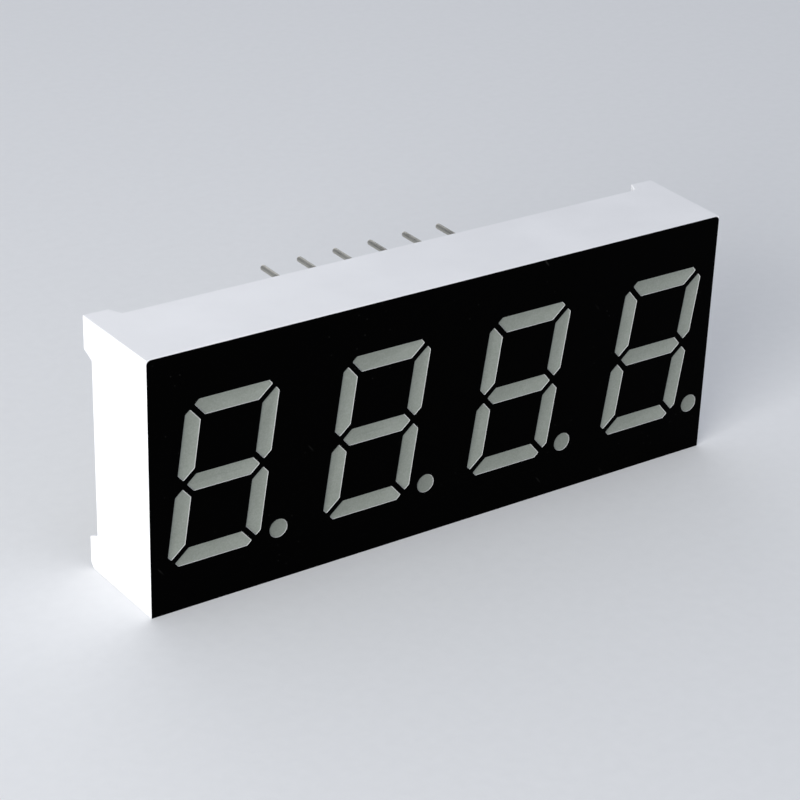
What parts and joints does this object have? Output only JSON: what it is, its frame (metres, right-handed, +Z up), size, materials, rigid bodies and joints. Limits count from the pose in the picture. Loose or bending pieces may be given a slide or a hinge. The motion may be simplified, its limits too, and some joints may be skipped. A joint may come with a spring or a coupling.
{
  "type": "seven segment display module",
  "caption": "Long boxed LED numeral display with slanted seven-segment digits, round decimal points, corner feet and two rows of straight through-hole pins.",
  "frame": {"origin": "centre of the two pin rows, on the plane that the four feet stand on against a circuit board", "axes": "+X along the digits, to the right as they are read; +Z up the digits; +Y along the pins, away from the lit face, which looks towards -Y"},
  "size_m": [0.0404, 0.0108, 0.016],
  "materials": {
    "white_plastic": "fine moulded satin",
    "black_ink": "smooth printed layer, low sheen",
    "segment_resin": "cured diffusing resin, fine grain",
    "board_laminate": "woven glass laminate",
    "board_copper": "plated copper foil",
    "chip_crystal": "sawn and polished crystal",
    "bond_gold": "drawn gold wire",
    "pin_metal": "dull tinned steel",
    "solder": "cooled solder",
    "potting_resin": "poured clear resin, slightly milky"
  },
  "bodies": {
    "root": {"housing": "white_plastic", "face_print": "black_ink", "segment_1a": "segment_resin", "segment_1b": "segment_resin", "segment_1c": "segment_resin", "segment_1d": "segment_resin", "segment_1e": "segment_resin", "segment_1f": "segment_resin", "segment_1g": "segment_resin", "segment_2a": "segment_resin", "segment_2b": "segment_resin", "segment_2c": "segment_resin", "segment_2d": "segment_resin", "segment_2e": "segment_resin", "segment_2f": "segment_resin", "segment_2g": "segment_resin", "segment_3a": "segment_resin", "segment_3b": "segment_resin", "segment_3c": "segment_resin", "segment_3d": "segment_resin", "segment_3e": "segment_resin", "segment_3f": "segment_resin", "segment_3g": "segment_resin", "segment_4a": "segment_resin", "segment_4b": "segment_resin", "segment_4c": "segment_resin", "segment_4d": "segment_resin", "segment_4e": "segment_resin", "segment_4f": "segment_resin", "segment_4g": "segment_resin", "point_1": "segment_resin", "point_2": "segment_resin", "point_3": "segment_resin", "point_4": "segment_resin", "circuit_board": "board_laminate", "board_front_copper": "board_copper", "board_back_copper": "board_copper", "led_chips_1": "chip_crystal", "led_chips_2": "chip_crystal", "led_chips_3": "chip_crystal", "led_chips_4": "chip_crystal", "bond_wires_1": "bond_gold", "bond_wires_2": "bond_gold", "bond_wires_3": "bond_gold", "bond_wires_4": "bond_gold", "pin_1": "pin_metal", "pin_2": "pin_metal", "pin_3": "pin_metal", "pin_4": "pin_metal", "pin_5": "pin_metal", "pin_6": "pin_metal", "pin_7": "pin_metal", "pin_8": "pin_metal", "pin_9": "pin_metal", "pin_10": "pin_metal", "pin_11": "pin_metal", "pin_12": "pin_metal", "solder_joints": "solder", "back_resin": "potting_resin"}
  },
  "joints": []
}
